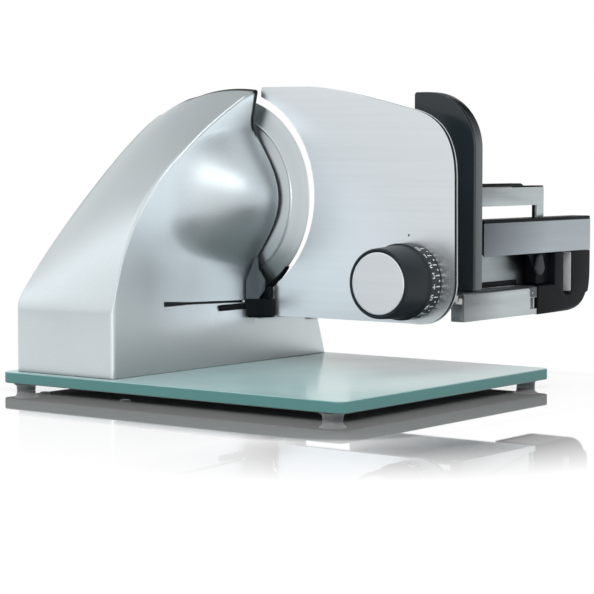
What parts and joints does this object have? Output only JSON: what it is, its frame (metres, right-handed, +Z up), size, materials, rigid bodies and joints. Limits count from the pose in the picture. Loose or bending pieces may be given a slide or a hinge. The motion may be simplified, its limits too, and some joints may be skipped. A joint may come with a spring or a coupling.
{
  "type": "electric food slicer",
  "caption": "Electric food slicer with a swept cast tower on a glass plate, a round blade, a stop plate with a thickness dial, and a sliding carriage with a pusher.",
  "frame": {"origin": "middle of the part's box, on the floor under the feet", "axes": "+X along the way the carriage comes back to its rest, away from the tower; +Y across the blade, from the dial towards the pusher; +Z up"},
  "size_m": [0.3564, 0.424, 0.251],
  "materials": {
    "casting": "satin silver casting, fine blasted",
    "brushed_aluminium": "brushed and anodised",
    "sheet_steel": "brushed stainless sheet",
    "blade_steel": "fine turned and polished",
    "black_plastic": "matt moulded",
    "grey_plastic": "matt moulded",
    "plate_glass": "thick tinted plate with ground edges",
    "grey_rubber": "matt",
    "pale_nylon": "moulded",
    "motor_iron": "laminated core with lacquered winding"
  },
  "bodies": {
    "base": {"glass_plate": "plate_glass", "housing": "casting", "bottom_cover": "sheet_steel", "finger_guard": "black_plastic", "guide_strip": "black_plastic", "stop_guide": "black_plastic", "motor_stator": "motor_iron", "motor_bracket": "sheet_steel", "switch_frame": "black_plastic", "cable_inlet": "black_plastic", "carriage_glide_1": "pale_nylon", "carriage_glide_2": "pale_nylon", "foot_1": "grey_rubber", "foot_2": "grey_rubber", "foot_3": "grey_rubber", "foot_4": "grey_rubber", "base_screw_1": "sheet_steel", "base_screw_2": "sheet_steel", "base_screw_3": "sheet_steel", "base_screw_4": "sheet_steel", "motor_bearing_lower": "sheet_steel", "motor_bearing_upper": "sheet_steel", "spindle_bearing_rear": "sheet_steel", "spindle_bearing_front": "sheet_steel", "blade_guard": "casting"},
    "blade_unit": {"blade": "blade_steel", "spindle": "sheet_steel", "blade_lock": "black_plastic", "drive_gear": "pale_nylon"},
    "motor_unit": {"motor_rotor": "sheet_steel", "worm": "sheet_steel"},
    "stop_unit": {"stop_plate": "brushed_aluminium", "stop_arm": "black_plastic", "stop_screw_1": "sheet_steel", "stop_screw_2": "sheet_steel"},
    "dial_unit": {"dial_knob": "black_plastic", "dial_cap": "brushed_aluminium"},
    "carriage": {"carriage_table": "sheet_steel", "carriage_rail": "brushed_aluminium", "back_wall": "sheet_steel", "grip_rail": "black_plastic", "steel_band": "sheet_steel", "hand_guard": "black_plastic", "hand_grip": "black_plastic"},
    "pusher": {"pusher_plate": "black_plastic", "pusher_saddle": "sheet_steel", "saddle_pad": "black_plastic"},
    "lever": {"lock_lever": "grey_plastic"},
    "rocker": {"switch_rocker": "black_plastic"}
  },
  "joints": [
    {"name": "blade_spin", "type": "hinge", "parent": "base", "child": "blade_unit", "pos_m": [-0.08978, -0.05, 0.1563], "axis": [0, 1, 0], "continuous": true},
    {"name": "motor_spin", "type": "hinge", "parent": "base", "child": "motor_unit", "pos_m": [-0.12438, -0.076, 0.0933], "axis": [0, 0, 1], "continuous": true},
    {"name": "stop_slide", "type": "slide", "parent": "base", "child": "stop_unit", "axis": [0, -1, 0], "range_m": [0, 0.02]},
    {"name": "dial_turn", "type": "hinge", "parent": "stop_unit", "child": "dial_unit", "pos_m": [0.10162, -0.03, 0.09], "axis": [0, 1, 0], "range_deg": [0, 330]},
    {"name": "carriage_slide", "type": "slide", "parent": "base", "child": "carriage", "axis": [-1, 0, 0], "range_m": [0, 0.17]},
    {"name": "pusher_slide", "type": "slide", "parent": "carriage", "child": "pusher", "axis": [0, -1, 0], "range_m": [0, 0.024]},
    {"name": "lever_turn", "type": "hinge", "parent": "carriage", "child": "lever", "pos_m": [0.1402, 0.1276, 0.1028], "axis": [-1, 0, 0], "range_deg": [0, 40]},
    {"name": "rocker_tilt", "type": "hinge", "parent": "base", "child": "rocker", "pos_m": [-0.15878, -0.136, 0.0533], "axis": [0, 0, 1], "range_deg": [-8, 8]}
  ],
  "couplings": [
    {"joint": "motor_spin", "follows": "blade_spin", "ratio": -32},
    {"joint": "dial_turn", "follows": "stop_slide", "rad_per_m": 287.9}
  ]
}
